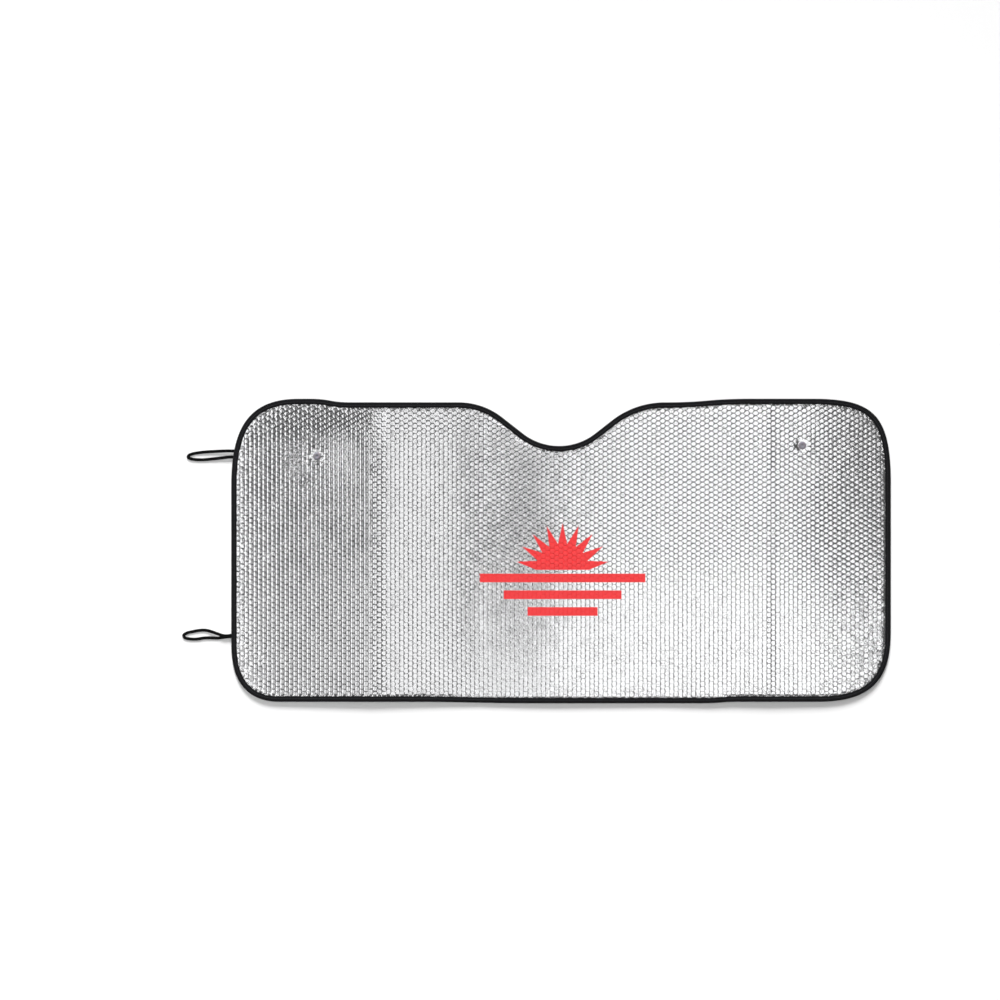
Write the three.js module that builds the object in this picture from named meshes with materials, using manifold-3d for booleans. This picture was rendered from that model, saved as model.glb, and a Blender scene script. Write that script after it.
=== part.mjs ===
// Windscreen sunshade: a sheet of aluminised bubble foil with a folded tape sewn round its edge,
// two elastic loops that hold it rolled up, and two suction cups pushed through the foil.
// It lies on the floor with its printed face up. Millimetres: +X along its length, +Y towards
// the edge with the mirror notch, +Z up, origin on the floor under the middle of its outline.
import * as THREE from "three";
import { mergeVertices } from "three/addons/utils/BufferGeometryUtils.js";
import Module from "manifold-3d";

// Outline, measured over the edge binding
const shadeLength = 1300;
const shadeWidth = 600;

// Each corner is one curve: how far it reaches along the length and the width, and how square it is
const topLeftCorner = { along: 132, across: 169, fullness: 0.7 };
const topRightCorner = { along: 151, across: 164, fullness: 0.79 };
const bottomRightCorner = { along: 143, across: 138, fullness: 0.71 };
const bottomLeftCorner = { along: 95, across: 112, fullness: 0.66 };

// The top edge dips a little between its corners and the notch, and the bottom edge sags
const topDip = 7;
const topDipFromLeft = 155;
const topDipRun = 79;
const topDipFromRight = 277;
const bottomSag = 3;
const sagFromLeft = 333;
const sagLeftRun = 276;
const sagFromRight = 297;
const sagRightRun = 79;

// Notch that clears the foot of the rear-view mirror
const notchX = -4;
const notchDepth = 86;
const notchFlankAngle = THREE.MathUtils.degToRad(38);
const notchBottomRadius = 116;
const notchLeftShoulderRadius = 138;
const notchRightShoulderRadius = 169;

// Bubble foil: bubbles packed in columns along Y, drawn here as one ridge for each column
const bubblePitch = 10.06;
const columnPitch = bubblePitch * Math.sin(Math.PI / 3);
const foilCrestThickness = 4;
const foilValleyThickness = 2.7;
const sewnThickness = 2.4;
const foldWearReach = 1.5 * columnPitch;
const foldWearShare = 0.7;

// How the sheet lies: storage folds, each at a distance along the length and a height
const levelEnd = 20;
const leftFoldFromEnd = 277;
const rightFoldFromEnd = 240;
const folds = [
  { x: -shadeLength / 2 + levelEnd, height: 0 },
  { x: -shadeLength / 2 + leftFoldFromEnd, height: 2.5 },
  { x: notchX - 156, height: 0 },
  { x: notchX - 8, height: 0.8 },
  { x: notchX + 204, height: 0 },
  { x: shadeLength / 2 - rightFoldFromEnd, height: 2 },
  { x: shadeLength / 2 - levelEnd, height: 0 },
];
const foldRounding = columnPitch;

// Edge binding: a woven tape folded over the edge
const tapeThickness = 0.8;
const bindingCover = 10;

// Elastic loops: braided elastic, both ends sewn in under the binding at the left end
const elasticWidth = 6;
const elasticThickness = 1.5;
const elasticSides = 8;
const upperLoopFromTop = 108.7;
const lowerLoopFromBottom = 132.3;

// Suction cups: one soft moulding each, with a neck and a mushroom head
const cupPlaces = [
  { name: "suction_cup_left", x: -shadeLength / 2 + 169.2, y: shadeWidth / 2 - 113.3 },
  { name: "suction_cup_right", x: shadeLength / 2 - 175.1, y: shadeWidth / 2 - 92 },
];
const cupRadius = 21;
const cupLipWidth = 2.2;
const cupLipThickness = 1;
const cupHollowDepth = 2.8;
const cupHollowTopRadius = 5;
const cupHollowShoulder = 15.5;
const cupDomeShoulder = 17.7;
const cupHeight = 6.2;
const cupShoulderRadius = 6;
const neckRadius = 3.4;
const headRadius = 7.4;
const headTopRadius = 5.55;
const headThickness = 3.2;
const headEdgeThickness = 1.6;
const pinchedThickness = 2;
const pinchRadius = 9;
const dimpleRadius = 17;
const liftRadius = 80;

// Printed motif: a half sun over three bars, in red ink
const inkThickness = 0.3;
const printX = 3;
const sunBaseY = -37;
const sunDiscRadius = 52;
const sunRayRadius = 92;
const sunRays = 9;
const barHeight = 17;
const barSpacing = 33;
const barLengths = [326, 232, 138];

// Clearance between pieces that touch, and round the necks of the cups
const contactGap = 0.3;
const neckClearance = 0.6;

// How finely curves are drawn
const arcStep = THREE.MathUtils.degToRad(6);
const easeSpans = 6;
const cupCurveSpans = 4;
const shortestSpan = 1;
const roundSegments = 24;
const liftRows = 12;
const loopSteps = 46;

const wasm = await Module();
wasm.setup();

// A closed geometry as a solid that can be joined and cut
function solidOf(geometry) {
  const bare = geometry.clone();
  bare.deleteAttribute("normal");
  bare.deleteAttribute("uv");
  const merged = mergeVertices(bare, 1e-4);
  const mesh = new wasm.Mesh({
    numProp: 3,
    vertProperties: merged.attributes.position.array,
    triVerts: new Uint32Array(merged.index.array),
  });
  return new wasm.Manifold(mesh);
}

function geometryOf(solid) {
  const mesh = solid.getMesh();
  const positions = new Float32Array(mesh.numVert * 3);
  for (let i = 0; i < mesh.numVert; i++) {
    const start = i * mesh.numProp;
    positions.set(mesh.vertProperties.subarray(start, start + 3), i * 3);
  }
  const geometry = new THREE.BufferGeometry();
  geometry.setAttribute("position", new THREE.BufferAttribute(positions, 3));
  geometry.setIndex(new THREE.BufferAttribute(mesh.triVerts, 1));
  geometry.computeVertexNormals();
  return geometry;
}

function geometryFrom(positions, indices) {
  const geometry = new THREE.BufferGeometry();
  geometry.setAttribute("position", new THREE.Float32BufferAttribute(positions, 3));
  geometry.setIndex(indices);
  geometry.computeVertexNormals();
  return geometry;
}

// A ramp that starts at 0, with its corner rounded
function softRamp(x) {
  if (x <= -foldRounding) return 0;
  if (x >= foldRounding) return x;
  return (x + foldRounding) ** 2 / (4 * foldRounding);
}

function slopeAfter(index) {
  const from = folds[index];
  const to = folds[index + 1];
  return from && to ? (to.height - from.height) / (to.x - from.x) : 0;
}

// Height of the lying sheet over the floor, from the bend at each fold
const bends = folds.map((fold, i) => ({
  x: fold.x,
  bend: slopeAfter(i) - slopeAfter(i - 1),
}));

function lieAt(x) {
  return bends.reduce((height, { x: foldX, bend }) => height + bend * softRamp(x - foldX), 0);
}

// The share by which a place is raised onto the shoulder of the cup beneath it
function liftShare(x, y) {
  let share = 0;
  for (const cup of cupPlaces) {
    const away = Math.hypot(x - cup.x, y - cup.y);
    const t = THREE.MathUtils.clamp((away - pinchRadius) / (liftRadius - pinchRadius), 0, 1);
    share = Math.max(share, (1 + Math.cos(Math.PI * t)) / 2);
  }
  return share;
}

const seatHeight = cupHeight + contactGap;

// How tall a block is that cuts right through the shade
const cutHeight = 4 * (cupHeight + foilCrestThickness);

function foilBottomAt(x, y) {
  const lying = tapeThickness + contactGap + lieAt(x);
  return THREE.MathUtils.lerp(lying, seatHeight, liftShare(x, y));
}

// Thickness of the foil across its columns: crests at whole pitches, worn down along the folds
function foilThicknessAt(x) {
  const halfSteps = Math.round((2 * x) / columnPitch);
  if (halfSteps % 2 !== 0) return foilValleyThickness;
  const nearest = Math.min(...folds.slice(1, -1).map((fold) => Math.abs(x - fold.x)));
  const worn = Math.max(0, 1 - nearest / foldWearReach);
  return THREE.MathUtils.lerp(foilCrestThickness, foilValleyThickness, foldWearShare * worn);
}

// The outline as arcs, straight lines and eased lines, anticlockwise seen from above
function easeTo(path, x, y) {
  const middle = (path.currentPoint.x + x) / 2;
  path.bezierCurveTo(middle, path.currentPoint.y, middle, y, x, y);
}

// A corner that leaves along the edge it comes from and arrives along the other one
function cornerTo(path, x, y, fullness) {
  const { x: startX, y: startY } = path.currentPoint;
  const leavesAlong = Math.abs(startY) > Math.abs(y);
  const [cornerX, cornerY] = leavesAlong ? [x, startY] : [startX, y];
  const { lerp } = THREE.MathUtils;
  path.bezierCurveTo(
    lerp(startX, cornerX, fullness),
    lerp(startY, cornerY, fullness),
    lerp(x, cornerX, fullness),
    lerp(y, cornerY, fullness),
    x,
    y,
  );
}

function shadeOutline() {
  const right = shadeLength / 2;
  const top = shadeWidth / 2;
  const quarter = Math.PI / 2;
  const bottomEnds = -top + bottomSag;
  const topMiddle = top - topDip;
  const path = new THREE.Path();

  path.moveTo(-right + bottomLeftCorner.along, bottomEnds);
  path.lineTo(-right + sagFromLeft, bottomEnds);
  easeTo(path, -right + sagFromLeft + sagLeftRun, -top);
  path.lineTo(right - sagFromRight - sagRightRun, -top);
  easeTo(path, right - sagFromRight, bottomEnds);
  path.lineTo(right - bottomRightCorner.along, bottomEnds);
  cornerTo(path, right, bottomEnds + bottomRightCorner.across, bottomRightCorner.fullness);
  path.lineTo(right, top - topRightCorner.across);
  cornerTo(path, right - topRightCorner.along, top, topRightCorner.fullness);
  path.lineTo(right - topDipFromRight, top);

  const rise = 1 - Math.cos(notchFlankAngle);
  const run = Math.sin(notchFlankAngle);
  const reach = (shoulder) => {
    const flank = (notchDepth - (notchBottomRadius + shoulder) * rise) / run;
    return (notchBottomRadius + shoulder) * run + flank * Math.cos(notchFlankAngle);
  };
  const rightShoulderX = notchX + reach(notchRightShoulderRadius);
  const leftShoulderX = notchX - reach(notchLeftShoulderRadius);
  easeTo(path, rightShoulderX, topMiddle);
  path.absarc(
    rightShoulderX,
    topMiddle - notchRightShoulderRadius,
    notchRightShoulderRadius,
    quarter,
    quarter + notchFlankAngle,
  );
  path.absarc(
    notchX,
    topMiddle - notchDepth + notchBottomRadius,
    notchBottomRadius,
    -quarter + notchFlankAngle,
    -quarter - notchFlankAngle,
    true,
  );
  path.absarc(
    leftShoulderX,
    topMiddle - notchLeftShoulderRadius,
    notchLeftShoulderRadius,
    quarter - notchFlankAngle,
    quarter,
  );
  path.lineTo(-right + topDipFromLeft + topDipRun, topMiddle);
  easeTo(path, -right + topDipFromLeft, top);
  path.lineTo(-right + topLeftCorner.along, top);
  cornerTo(path, -right, top - topLeftCorner.across, topLeftCorner.fullness);
  path.lineTo(-right, bottomEnds + bottomLeftCorner.across);
  cornerTo(path, -right + bottomLeftCorner.along, bottomEnds, bottomLeftCorner.fullness);
  return path;
}

// Points along the outline with their inward directions, one at each bend of a fold
function walk(path, stations) {
  const samples = [];
  for (const curve of path.curves) {
    const turn = Math.acos(THREE.MathUtils.clamp(curve.getTangent(0).dot(curve.getTangent(1)), -1, 1));
    const spans = curve.isLineCurve ? 1 : Math.max(easeSpans, Math.ceil(turn / arcStep));
    const places = [];
    for (let i = 0; i < spans; i++) {
      const start = curve.getPoint(i / spans).x;
      const end = curve.getPoint((i + 1) / spans).x;
      places.push(i / spans);
      const shares = stations
        .filter((x) => (x - start) * (x - end) < 0)
        .filter((x) => Math.min(Math.abs(x - start), Math.abs(x - end)) > shortestSpan)
        .map((x) => (x - start) / (end - start));
      for (const share of shares.sort((a, b) => a - b)) places.push((i + share) / spans);
    }
    for (const place of places) {
      const point = curve.getPoint(place);
      const tangent = curve.getTangent(place);
      samples.push({ point, inward: new THREE.Vector2(-tangent.y, tangent.x) });
    }
  }
  return samples;
}

const foldStations = folds.flatMap(({ x }) => [x - foldRounding, x, x + foldRounding]);
const outline = walk(shadeOutline(), foldStations);

function insetPoint({ point, inward }, inset) {
  return point.clone().addScaledVector(inward, inset);
}

// A straight-sided block over the outline, drawn in by an inset
function outlineBlock(inset, height) {
  const shape = new THREE.Shape(outline.map((sample) => insetPoint(sample, inset)));
  return solidOf(new THREE.ExtrudeGeometry(shape, { depth: height, bevelEnabled: false }));
}

// A plate that covers the whole shade, laid over the folds and the cups
function rowsAt(x) {
  const rows = new Set([-shadeWidth, shadeWidth]);
  for (const cup of cupPlaces) {
    if (Math.abs(x - cup.x) >= liftRadius) continue;
    for (let i = 0; i <= liftRows; i++) rows.add(cup.y + liftRadius * ((2 * i) / liftRows - 1));
  }
  return [...rows].sort((a, b) => a - b);
}

function laidPlate(columns, topAt, bottomAt) {
  const positions = [];
  const indices = [];
  const addVertex = (x, y, z) => positions.push(x, y, z) / 3 - 1;
  const lines = columns.map((x) => {
    const rows = rowsAt(x);
    const top = rows.map((y) => addVertex(x, y, topAt(x, y)));
    const bottom = rows.map((y) => addVertex(x, y, bottomAt(x, y)));
    return { rows, top, bottom };
  });
  const addQuad = (a, b, c, d) => indices.push(a, b, c, a, c, d);

  for (let i = 1; i < lines.length; i++) {
    const [a, b] = [lines[i - 1], lines[i]];
    const [lastA, lastB] = [a.rows.length - 1, b.rows.length - 1];
    let [rowA, rowB] = [0, 0];
    while (rowA < lastA || rowB < lastB) {
      const goLeft = rowB === lastB || (rowA < lastA && a.rows[rowA + 1] <= b.rows[rowB + 1]);
      const [next, side] = goLeft ? [rowA + 1, a] : [rowB + 1, b];
      indices.push(a.top[rowA], b.top[rowB], side.top[next]);
      indices.push(b.bottom[rowB], a.bottom[rowA], side.bottom[next]);
      if (goLeft) rowA = next;
      else rowB = next;
    }
    addQuad(a.bottom[0], b.bottom[0], b.top[0], a.top[0]);
    addQuad(b.bottom[lastB], a.bottom[lastA], a.top[lastA], b.top[lastB]);
  }
  const first = lines[0];
  const last = lines.at(-1);
  for (let i = 1; i < first.rows.length; i++)
    addQuad(first.bottom[i], first.bottom[i - 1], first.top[i - 1], first.top[i]);
  for (let i = 1; i < last.rows.length; i++)
    addQuad(last.bottom[i - 1], last.bottom[i], last.top[i], last.top[i - 1]);
  return solidOf(geometryFrom(positions, indices));
}

function columnsBetween(from, to) {
  const half = columnPitch / 2;
  const columns = [];
  for (let i = Math.floor(from / half); i <= Math.ceil(to / half); i++) columns.push(i * half);
  return columns;
}

const foilTopAt = (x, y) => foilBottomAt(x, y) + foilThicknessAt(x);

// A round solid that stands at a cup's place, turned from a profile of radius and height
function turned(profile, cup) {
  const points = profile.map(([radius, height]) => new THREE.Vector2(radius, height));
  const geometry = new THREE.LatheGeometry(points, roundSegments);
  geometry.rotateX(Math.PI / 2);
  if (cup) geometry.translate(cup.x, cup.y, 0);
  return geometry;
}

// Bubble foil sheet: the quilted field, its flat sewn margin, and a pinched hole for each cup
function bubbleFoilSheet() {
  const marginInset = tapeThickness + contactGap;
  const fieldInset = bindingCover + 2 * contactGap;
  const columns = columnsBetween(-shadeLength / 2 - columnPitch, shadeLength / 2 + columnPitch);
  const core = (x, y) => foilBottomAt(x, y) + sewnThickness / 2;
  const flatTop = (x, y) => foilBottomAt(x, y) + sewnThickness;
  const margin = laidPlate(columns, flatTop, foilBottomAt).intersect(outlineBlock(marginInset, cutHeight));
  const field = laidPlate(columns, foilTopAt, core).intersect(outlineBlock(fieldInset, cutHeight));
  let sheet = margin.add(field);

  const seatTop = seatHeight + pinchedThickness;
  for (const cup of cupPlaces) {
    const hole = new THREE.CylinderGeometry(
      neckRadius + neckClearance,
      neckRadius + neckClearance,
      cutHeight,
      roundSegments,
    );
    hole.rotateX(Math.PI / 2);
    hole.translate(cup.x, cup.y, cutHeight / 2);
    const dimple = turned(
      [
        [0, seatTop],
        [pinchRadius, seatTop],
        [dimpleRadius, seatHeight + foilCrestThickness + contactGap],
        [dimpleRadius, cutHeight],
        [0, cutHeight],
      ],
      cup,
    );
    sheet = sheet.subtract(solidOf(hole)).subtract(solidOf(dimple));
  }
  return geometryOf(sheet);
}

// Edge binding: one ring of tape with a U section, open inwards, that follows the sheet
function edgeBinding() {
  const slotBottom = tapeThickness;
  const slotTop = slotBottom + sewnThickness + 2 * contactGap;
  const section = [
    [0, 0],
    [0, slotTop + tapeThickness],
    [bindingCover, slotTop + tapeThickness],
    [bindingCover, slotTop],
    [tapeThickness, slotTop],
    [tapeThickness, slotBottom],
    [bindingCover, slotBottom],
    [bindingCover, 0],
  ];
  const positions = [];
  const indices = [];
  for (const sample of outline)
    for (const [inset, height] of section) {
      const { x, y } = insetPoint(sample, inset);
      positions.push(x, y, height + lieAt(x));
    }
  const around = section.length;
  for (let i = 0; i < outline.length; i++) {
    const here = i * around;
    const next = ((i + 1) % outline.length) * around;
    for (let k = 0; k < around; k++) {
      const beside = (k + 1) % around;
      indices.push(here + k, next + k, next + beside);
      indices.push(here + k, next + beside, here + beside);
    }
  }
  return geometryFrom(positions, indices);
}

// Elastic loop: a flat tube along a hand-laid route from the binding out and back. The route
// starts at its root on the binding's outer edge, and its heights are over the floor.
function elasticLoop(route, rootY) {
  const curve = new THREE.CatmullRomCurve3(
    route.map(([x, y, z]) => new THREE.Vector3(x - shadeLength / 2, y + rootY, z)),
    false,
    "centripetal",
  );
  const [rx, ry] = [elasticWidth / 2, elasticThickness / 2];
  const section = new THREE.Shape(
    Array.from({ length: elasticSides }, (_, i) => {
      const angle = ((i + 0.5) * 2 * Math.PI) / elasticSides;
      const scale = 1 / Math.cos(Math.PI / elasticSides);
      return new THREE.Vector2(ry * scale * Math.cos(angle), rx * scale * Math.sin(angle));
    }),
  );
  return new THREE.ExtrudeGeometry(section, { steps: loopSteps, extrudePath: curve });
}

const upperLoopRoute = [
  [4.8, 5.9, 2.3],
  [-10, 5.9, 2.3],
  [-30, 5.2, 1.8],
  [-53, 3.8, 1.2],
  [-66, 2.3, 0.9],
  [-77, 0.1, 0.9],
  [-83.5, -2.7, 0.9],
  [-85.3, -5.9, 0.9],
  [-81.5, -8.9, 0.9],
  [-72, -10.8, 0.9],
  [-58, -11.4, 0.9],
  [-42, -10.2, 1.2],
  [-20, -7.8, 1.8],
  [-8, -6.4, 2.3],
  [2.8, -5.9, 2.3],
];

const lowerLoopRoute = [
  [-0.4, 1.5, 3.4],
  [-8, 0.7, 3.6],
  [-16, 1.1, 3.6],
  [-27, 4.5, 3],
  [-38, 8.4, 2],
  [-49, 11.3, 1.1],
  [-61, 11.5, 0.9],
  [-76, 8.9, 0.9],
  [-88, 5.9, 0.9],
  [-94, 1.5, 0.9],
  [-91.5, -3.2, 0.9],
  [-83, -5.5, 0.9],
  [-68, -5.9, 0.9],
  [-55, -3.9, 0.9],
  [-42, -3.4, 0.9],
  [-27, -3.9, 0.9],
  [-10, -1.7, 1],
  [-0.4, -1.1, 1.1],
];

// Suction cup: lip and hollow underneath, shoulder under the foil, neck and mushroom head
function suctionCup() {
  const headBottom = seatHeight + pinchedThickness + contactGap;
  const hollow = new THREE.QuadraticBezierCurve(
    new THREE.Vector2(cupHollowTopRadius, cupHollowDepth),
    new THREE.Vector2(cupHollowShoulder, cupHollowDepth),
    new THREE.Vector2(cupRadius - cupLipWidth, 0),
  );
  const dome = new THREE.QuadraticBezierCurve(
    new THREE.Vector2(cupRadius, cupLipThickness),
    new THREE.Vector2(cupDomeShoulder, cupHeight - cupLipThickness),
    new THREE.Vector2(cupShoulderRadius + cupLipWidth, cupHeight - cupLipThickness),
  );
  const curved = (curve) => curve.getPoints(cupCurveSpans).map(({ x, y }) => [x, y]);
  return turned([
    [0, cupHollowDepth],
    ...curved(hollow),
    [cupRadius, 0],
    ...curved(dome),
    [cupShoulderRadius, cupHeight],
    [neckRadius, cupHeight],
    [neckRadius, headBottom],
    [headRadius, headBottom],
    [headRadius, headBottom + headEdgeThickness],
    [headTopRadius, headBottom + headThickness],
    [0, headBottom + headThickness],
  ]);
}

// Printed motif: ink over the foil, cut from a thin layer that follows the ridges
const printReach = Math.max(...barLengths, 2 * sunRayRadius) / 2;
const inkBottomAt = (x, y) => foilTopAt(x, y) + contactGap;
const inkTopAt = (x, y) => inkBottomAt(x, y) + inkThickness;
const inkLayer = laidPlate(
  columnsBetween(printX - printReach - columnPitch, printX + printReach + columnPitch),
  inkTopAt,
  inkBottomAt,
);

function printed(shape) {
  const block = new THREE.ExtrudeGeometry(shape, { depth: cutHeight, bevelEnabled: false });
  return geometryOf(inkLayer.intersect(solidOf(block)));
}

function halfSunShape() {
  const corners = Array.from({ length: 2 * sunRays + 1 }, (_, i) => {
    const angle = (Math.PI * i) / (2 * sunRays);
    const radius = i % 2 ? sunRayRadius : sunDiscRadius;
    return new THREE.Vector2(printX + radius * Math.cos(angle), sunBaseY + radius * Math.sin(angle));
  });
  return new THREE.Shape(corners);
}

function barShape(index) {
  const middle = sunBaseY - barSpacing * (index + 1) + barHeight;
  const [w, h] = [barLengths[index] / 2, barHeight / 2];
  return new THREE.Shape([
    new THREE.Vector2(printX - w, middle - h),
    new THREE.Vector2(printX + w, middle - h),
    new THREE.Vector2(printX + w, middle + h),
    new THREE.Vector2(printX - w, middle + h),
  ]);
}

// Materials
const foilMaterial = new THREE.MeshStandardMaterial({
  color: 0xd6d8da,
  roughness: 0.28,
  metalness: 1,
  flatShading: true,
});
const tapeMaterial = new THREE.MeshStandardMaterial({ color: 0x26262a, roughness: 0.85 });
const elasticMaterial = new THREE.MeshStandardMaterial({ color: 0x0f0f11, roughness: 0.55 });
const cupMaterial = new THREE.MeshStandardMaterial({
  color: 0x98949c,
  roughness: 0.25,
  transparent: true,
  opacity: 0.75,
});
const inkMaterial = new THREE.MeshStandardMaterial({
  color: 0xee3a3c,
  roughness: 0.45,
  flatShading: true,
});

// The whole shade
const shade = new THREE.Group();

function addPiece(parent, name, geometry, material) {
  const mesh = new THREE.Mesh(geometry, material);
  mesh.name = name;
  parent.add(mesh);
  return mesh;
}

addPiece(shade, "bubble_foil_sheet", bubbleFoilSheet(), foilMaterial);
addPiece(shade, "edge_binding", edgeBinding(), tapeMaterial);
const upperLoop = elasticLoop(upperLoopRoute, shadeWidth / 2 - upperLoopFromTop);
const lowerLoop = elasticLoop(lowerLoopRoute, -shadeWidth / 2 + lowerLoopFromBottom);
addPiece(shade, "elastic_loop_upper", upperLoop, elasticMaterial);
addPiece(shade, "elastic_loop_lower", lowerLoop, elasticMaterial);

for (const cup of cupPlaces) {
  const mesh = addPiece(shade, cup.name, suctionCup(), cupMaterial);
  mesh.position.set(cup.x, cup.y, 0);
}

const print = new THREE.Group();
addPiece(print, "printed_half_sun", printed(halfSunShape()), inkMaterial);
barLengths.forEach((_, i) => addPiece(print, `printed_bar_${i + 1}`, printed(barShape(i)), inkMaterial));
shade.add(print);

export default shade;
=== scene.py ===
"""A windscreen sunshade of aluminised bubble foil, lying printed side up on a pale floor."""

import math
import random

import bmesh
import bpy
import numpy as np
from mathutils import Matrix, Vector


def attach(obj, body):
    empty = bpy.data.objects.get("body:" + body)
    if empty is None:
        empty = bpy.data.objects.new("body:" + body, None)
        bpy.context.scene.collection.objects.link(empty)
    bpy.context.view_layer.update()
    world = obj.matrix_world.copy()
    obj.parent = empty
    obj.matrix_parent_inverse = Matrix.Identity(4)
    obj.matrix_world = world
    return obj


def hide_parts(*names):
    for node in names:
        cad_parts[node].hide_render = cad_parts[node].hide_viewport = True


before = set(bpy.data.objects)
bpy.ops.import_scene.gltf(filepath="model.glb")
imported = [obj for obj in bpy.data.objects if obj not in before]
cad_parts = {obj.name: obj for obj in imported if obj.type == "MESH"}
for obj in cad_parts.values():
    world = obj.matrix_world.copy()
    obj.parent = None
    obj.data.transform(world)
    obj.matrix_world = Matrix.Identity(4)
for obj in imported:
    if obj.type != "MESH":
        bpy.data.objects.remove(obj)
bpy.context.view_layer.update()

# Camera, straight above the shade as the photograph has it. The picture is 1000 pixels wide, and
# each covers 1.972 mm of the floor.
camera_height = 4.5
camera_x = -0.1203
camera_y = 0.1006
picture_width = 1.972
sensor_width = 36.0
camera_data = bpy.data.cameras.new("camera")
camera_data.sensor_width = sensor_width
camera_data.lens = sensor_width * camera_height / picture_width
camera_data.clip_end = 200.0
camera = bpy.data.objects.new("camera", camera_data)
camera.location = (camera_x, camera_y, camera_height)
bpy.context.scene.collection.objects.link(camera)
bpy.context.scene.camera = camera
bpy.context.scene.view_settings.view_transform = "Standard"

# Elastic loops that hold the shade rolled up. Each is braided elastic, rubber cores in a black
# polyester braid, 6 mm wide and 1.5 mm thick, with both ends sewn into the binding at the left
# end. It lies flat on the floor, with a pinched bend at its tip.
MM = 0.001
shade_length = 1300.0
shade_width = 600.0
elastic_width = 6.0
elastic_thickness = 1.5
elastic_steps = 6
elastic_sides = 14
elastic_squareness = 0.55
yarn_length = 1.2
rib_width = 0.9
sewn_in = 1.5
upper_loop_from_top = 108.7
lower_loop_from_bottom = 132.3
upper_root = (-shade_length / 2, shade_width / 2 - upper_loop_from_top)
lower_root = (-shade_length / 2, -shade_width / 2 + lower_loop_from_bottom)
# A route's points lie along the shade, across it and up from its root. They are in millimetres,
# as every size of the shade is.
upper_loop_route = [
    (4.8, 5.9, 2.3), (-10, 5.9, 2.3), (-30, 5.2, 1.8), (-53, 3.8, 1.2), (-66, 2.3, 0.9),
    (-77, 0.1, 0.9), (-83.5, -2.7, 0.9), (-85.3, -5.9, 0.9), (-81.5, -8.9, 0.9),
    (-72, -10.8, 0.9), (-58, -11.4, 0.9), (-42, -10.2, 1.2), (-20, -7.8, 1.8),
    (-8, -6.4, 2.3), (2.8, -5.9, 2.3),
]
lower_loop_route = [
    (-0.4, 1.5, 3.4), (-8, 0.7, 3.6), (-16, 1.1, 3.6), (-27, 4.5, 3), (-38, 8.4, 2),
    (-49, 11.3, 1.1), (-61, 11.5, 0.9), (-76, 8.9, 0.9), (-88, 5.9, 0.9), (-94, 1.5, 0.9),
    (-91.5, -3.2, 0.9), (-83, -5.5, 0.9), (-68, -5.9, 0.9), (-55, -3.9, 0.9),
    (-42, -3.4, 0.9), (-27, -3.9, 0.9), (-10, -1.7, 1), (-0.4, -1.1, 1.1),
]


def linear(colour):
    """An sRGB hex colour as the linear values that a shader takes."""
    shares = [int(colour[i : i + 2], 16) / 255 for i in (1, 3, 5)]
    return [c / 12.92 if c <= 0.04045 else ((c + 0.055) / 1.055) ** 2.4 for c in shares] + [1.0]


def add_node(tree, kind, links, **settings):
    """A shader node with its settings, and its inputs linked or set."""
    made = tree.nodes.new("ShaderNode" + kind)
    for name, value in settings.items():
        setattr(made, name, value)
    for socket, value in links.items():
        if isinstance(value, bpy.types.NodeSocket):
            tree.links.new(value, made.inputs[socket])
        else:
            made.inputs[socket].default_value = value
    return made


def new_material(name):
    """An empty node material and its output node."""
    material = bpy.data.materials.new(name)
    material.use_nodes = True
    material.node_tree.nodes.clear()
    output = material.node_tree.nodes.new("ShaderNodeOutputMaterial")
    return material, material.node_tree, output.inputs["Surface"]


def new_piece(name, points, faces, material, uvs=None):
    """A mesh piece from points in millimetres, riding on the shade's one body."""
    mesh = bpy.data.meshes.new(name)
    mesh.from_pydata((np.asarray(points, float) * MM).tolist(), [], faces)
    if uvs is not None:
        layer = mesh.uv_layers.new(name="UVMap")
        corners = np.empty(len(mesh.loops), dtype=np.int32)
        mesh.loops.foreach_get("vertex_index", corners)
        layer.data.foreach_set("uv", np.asarray(uvs, float)[corners].astype(np.float32).ravel())
    mesh.update()
    mesh.shade_smooth()
    mesh.materials.append(material)
    piece = bpy.data.objects.new(name, mesh)
    bpy.context.scene.collection.objects.link(piece)
    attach(piece, "root")
    return piece


def smooth_line(route, steps):
    """Points on the centripetal spline through a route, the same curve as the solid's."""
    ends = [2 * route[0] - route[1], 2 * route[-1] - route[-2]]
    stops = [ends[0], *route, ends[1]]
    line = []
    for a, b, c, d in zip(stops, stops[1:], stops[2:], stops[3:]):
        ta, tb, tc = ((q - p).length ** 0.5 for p, q in ((a, b), (b, c), (c, d)))
        start = ((b - a) / ta - (c - a) / (ta + tb) + (c - b) / tb) * tb
        end = ((c - b) / tb - (d - b) / (tb + tc) + (d - c) / tc) * tb
        for i in range(steps):
            t = i / steps
            line.append(
                b * (2 * t**3 - 3 * t**2 + 1)
                + start * (t**3 - 2 * t**2 + t)
                + c * (3 * t**2 - 2 * t**3)
                + end * (t**3 - t**2)
            )
    return [*line, route[-1]]


def elastic_section():
    """The flat rounded section of the elastic: across its width, and up through its thickness."""
    section = []
    for i in range(elastic_sides):
        angle = 2 * math.pi * i / elastic_sides
        across, up = math.cos(angle), math.sin(angle)
        section.append((
            elastic_width / 2 * math.copysign(abs(across) ** elastic_squareness, across),
            elastic_thickness / 2 * math.copysign(abs(up) ** elastic_squareness, up),
        ))
    return section


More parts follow.
